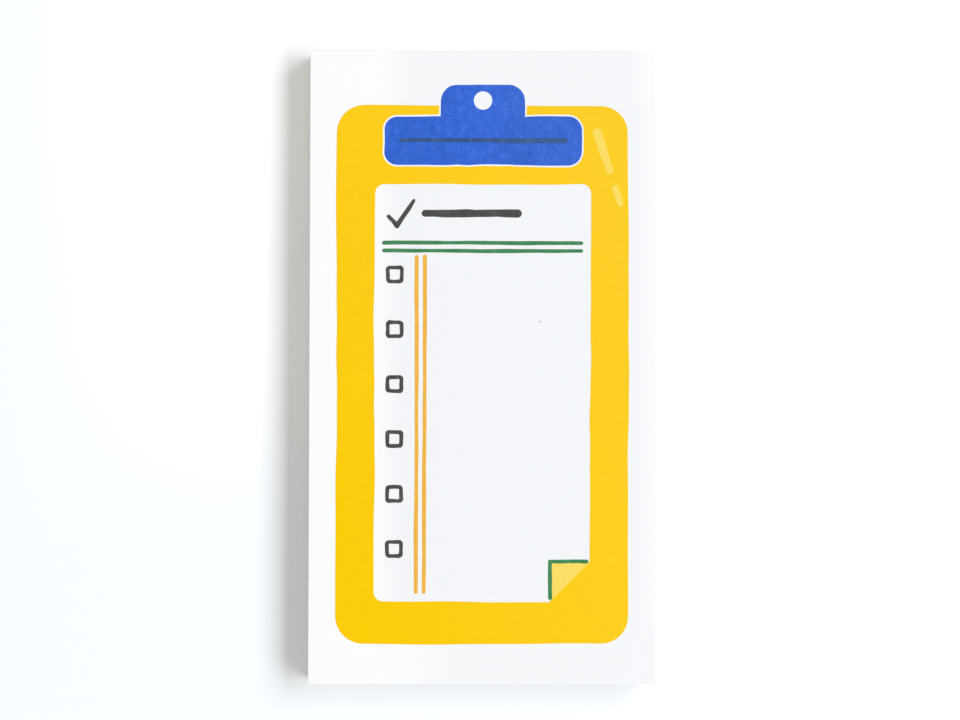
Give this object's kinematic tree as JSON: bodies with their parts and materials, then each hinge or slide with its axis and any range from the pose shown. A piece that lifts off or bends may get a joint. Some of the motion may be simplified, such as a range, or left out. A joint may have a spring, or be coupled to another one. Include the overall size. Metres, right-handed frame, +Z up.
{
  "type": "novelty notepad",
  "caption": "Tear-off notepad: a glued block of plain sheets on a stiff board, its top sheet printed as a yellow clipboard holding a blank white note.",
  "frame": {"origin": "middle of the pad's footprint, on the surface it lies on", "axes": "+Z up out of the printed face, +Y towards the glued head, +X to the right as the sheet is read"},
  "size_m": [0.082, 0.1502, 0.0089],
  "materials": {
    "paper": "matte",
    "grey_board": "matte",
    "padding_glue": "satin",
    "yellow_ink": "matte",
    "blue_ink": "matte",
    "navy_ink": "matte",
    "pale_yellow_ink": "matte",
    "green_ink": "matte",
    "orange_ink": "matte",
    "charcoal_ink": "matte"
  },
  "bodies": {
    "root": {"sheets": "paper", "backing_board": "grey_board", "glue_strip": "padding_glue", "print_board": "yellow_ink", "print_clip": "blue_ink", "print_clip_crease": "navy_ink", "print_glints": "pale_yellow_ink", "print_folded_corner": "pale_yellow_ink", "print_fold_lines": "green_ink", "print_heading_rules": "green_ink", "print_margin_rules": "orange_ink", "print_marks": "charcoal_ink"}
  },
  "joints": []
}
